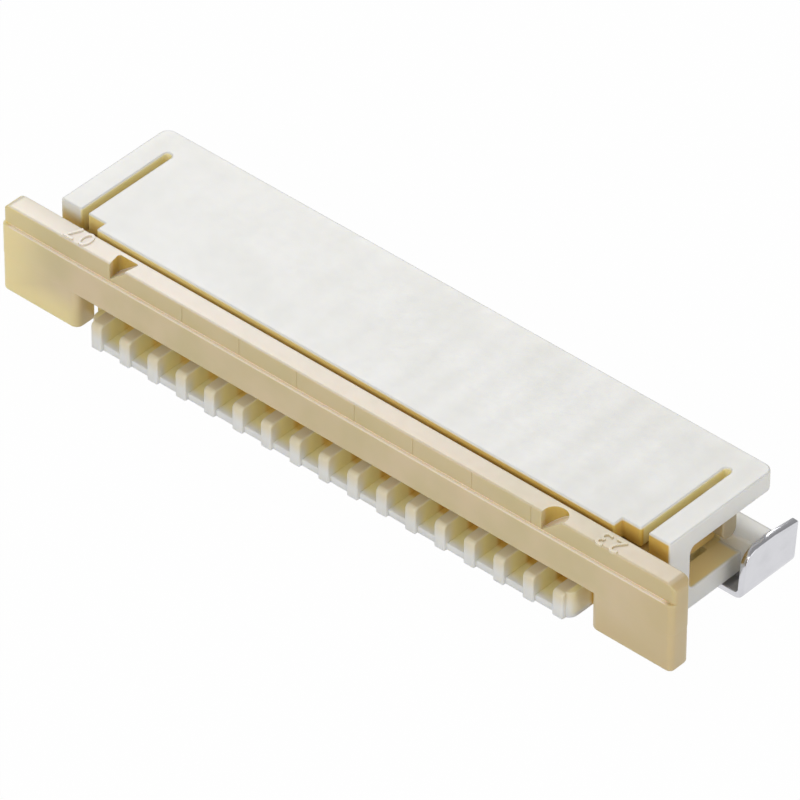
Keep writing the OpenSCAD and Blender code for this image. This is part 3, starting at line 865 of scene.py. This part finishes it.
def contactOutline(s):
    # from the lower beam's tip along its underside, the tail, the back, the upper beam and back to the bump
    b, back, front, top = s["bend"], s["baseBack"], s["baseFront"], s["top"]
    bumpY, bumpZ = s["tipY"] + 3 * b, housingShape["ribTop"] + s["bump"]
    footZ = housingShape["grooveZ"] + s["gap"]
    footTop, beamZ = footZ + s["beamH"], top - s["beamH"]
    edgeR, tipR, bendR, innerR = s["edgeR"], s["tipR"], s["bendR"], s["innerR"]
    return [
        (s["tipY"], bumpZ - s["beamH"], tipR), (s["tipY"] + b, footZ + b, bendR), (bumpY + b, footZ, bendR),
        (back - b, footZ), (back, 0, bendR), (s["tailY"], 0), (s["tailY"], s["tailT"]),
        (back + 2 * b, s["tailT"], bendR), (back + b, s["tailT"] + b), (back, top - b, edgeR),
        (back - b, top, edgeR), (bumpY + b, top, bendR), (bumpY, beamZ + b, bendR), (bumpY + b, beamZ, edgeR),
        (front - b, beamZ, innerR), (front, beamZ - b), (front, footTop + b), (front - b, footTop, innerR),
        (bumpY + 3 * b, footTop, bendR), (bumpY + b / 2, bumpZ, edgeR), (bumpY - b / 2, bumpZ, edgeR)]


def buildContacts(s):
    item = prism(contactOutline(s), "x", -s["half"], s["half"], s["soft"], s["rings"], s["steps"])
    mesh = centredRow("contactRow", item, contactCount, pitch, contactPlate)
    nodes = sorted(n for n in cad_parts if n.startswith("contact_"))
    finishPiece("contactRow", mesh, contactPlate, "housing", nodes, s["smoothAngle"])


buildContacts(contactShape)


# studio: camera, softboxes, world and floor

cameraSettings = {
    "azimuth": 41.6, "elevation": 39.38, "roll": 0.35, "distance": 257.12, "lens": 449.0, "sensor": 36,
    "target": (0, 2.0, 1.5), "shiftRight": 0.501, "shiftUp": -0.0986, "clip": 10,
}
softboxes = {
    "backSoftbox": {"azimuth": 227, "elevation": 39.5, "size": (130, 100), "radiance": 7.3},
    "frontSoftbox": {"azimuth": 8, "elevation": 22.0, "size": (300, 200), "radiance": 2.6},
    "sideSoftbox": {"azimuth": 88, "elevation": 14.0, "size": (260, 180), "radiance": 1.7},
}
softboxTarget, softboxDistance = Vector((0, 3, 1.5)), 350
worldStrength = 0.38
floorSettings = {"half": 1500, "color": 0.8, "white": 0.985}


def viewAxes(azimuth, elevation, roll=0.0):
    a, e, r = (math.radians(v) for v in (azimuth, elevation, roll))
    right = Vector((math.cos(a), math.sin(a), 0))
    up = Vector((-math.sin(a) * math.sin(e), math.cos(a) * math.sin(e), math.cos(e)))
    back = right.cross(up)
    return right * math.cos(r) + up * math.sin(r), up * math.cos(r) - right * math.sin(r), back


def placeFacing(name, data, axes, place):
    obj = placed(name, data)
    rows = [[axes[k][i] for k in range(3)] + [place[i]] for i in range(3)] + [[0, 0, 0, 1]]
    obj.matrix_world = Matrix(rows)
    return obj


def addCamera(s):
    axes = viewAxes(s["azimuth"], s["elevation"], s["roll"])
    data = bpy.data.cameras.new("camera")
    data.lens = s["lens"]
    data.sensor_width = s["sensor"]
    data.clip_start = s["clip"] * mm
    place = Vector(s["target"]) + axes[0] * s["shiftRight"] + axes[1] * s["shiftUp"] + axes[2] * s["distance"]
    scene.camera = placeFacing("camera", data, axes, place * mm)


def addSoftbox(name, s):
    axes = viewAxes(s["azimuth"], s["elevation"])
    data = bpy.data.lights.new(name, "AREA")
    data.shape = "RECTANGLE"
    data.size, data.size_y = s["size"][0] * mm, s["size"][1] * mm
    data.energy = s["radiance"] * math.pi * data.size * data.size_y
    placeFacing(name, data, axes, (softboxTarget + axes[2] * softboxDistance) * mm)


def addWorld(strength):
    # the camera sees a white world, and the connector is lit by a weaker one
    world = bpy.data.worlds.new("studio")
    scene.world = world
    world.use_nodes = True
    tree = world.node_tree
    background = tree.nodes["Background"]
    seen = tree.nodes.new("ShaderNodeLightPath").outputs["Is Camera Ray"]
    setInput(tree, background.inputs["Strength"], addMath(tree, "MULTIPLY_ADD", seen, 1 - strength, strength))
    setInput(tree, background.inputs["Color"], (1.0, 1.0, 1.0))


def floorMaterial(s):
    # plain white where it is seen or mirrored, and a matte surface for the light that it throws back
    material = bpy.data.materials.new("floorWhite")
    material.use_nodes = True
    tree = material.node_tree
    tree.nodes.clear()
    out = tree.nodes.new("ShaderNodeOutputMaterial")
    mix = tree.nodes.new("ShaderNodeMixShader")
    matte = tree.nodes.new("ShaderNodeBsdfDiffuse")
    setInput(tree, matte.inputs["Color"], (s["color"], s["color"], s["color"]))
    plain = tree.nodes.new("ShaderNodeEmission")
    rays = tree.nodes.new("ShaderNodeLightPath").outputs
    seen = addMath(tree, "MAXIMUM", rays["Is Camera Ray"], rays["Is Glossy Ray"])
    seen = addMath(tree, "MAXIMUM", seen, rays["Is Transmission Ray"])
    tree.links.new(addMath(tree, "MULTIPLY", seen, s["white"]), mix.inputs[0])
    tree.links.new(matte.outputs[0], mix.inputs[1])
    tree.links.new(plain.outputs[0], mix.inputs[2])
    tree.links.new(mix.outputs[0], out.inputs[0])
    return material


def addFloor(s):
    bm = bmesh.new()
    bmesh.ops.create_grid(bm, x_segments=1, y_segments=1, size=s["half"] * mm)
    floor = placed("floor", meshFrom(bm, "floor"))
    floor.data.materials.append(floorMaterial(s))


addCamera(cameraSettings)
for softboxName, softbox in softboxes.items():
    addSoftbox(softboxName, softbox)
addWorld(worldStrength)
addFloor(floorSettings)
scene.view_settings.view_transform = "Standard"
print("studio done")
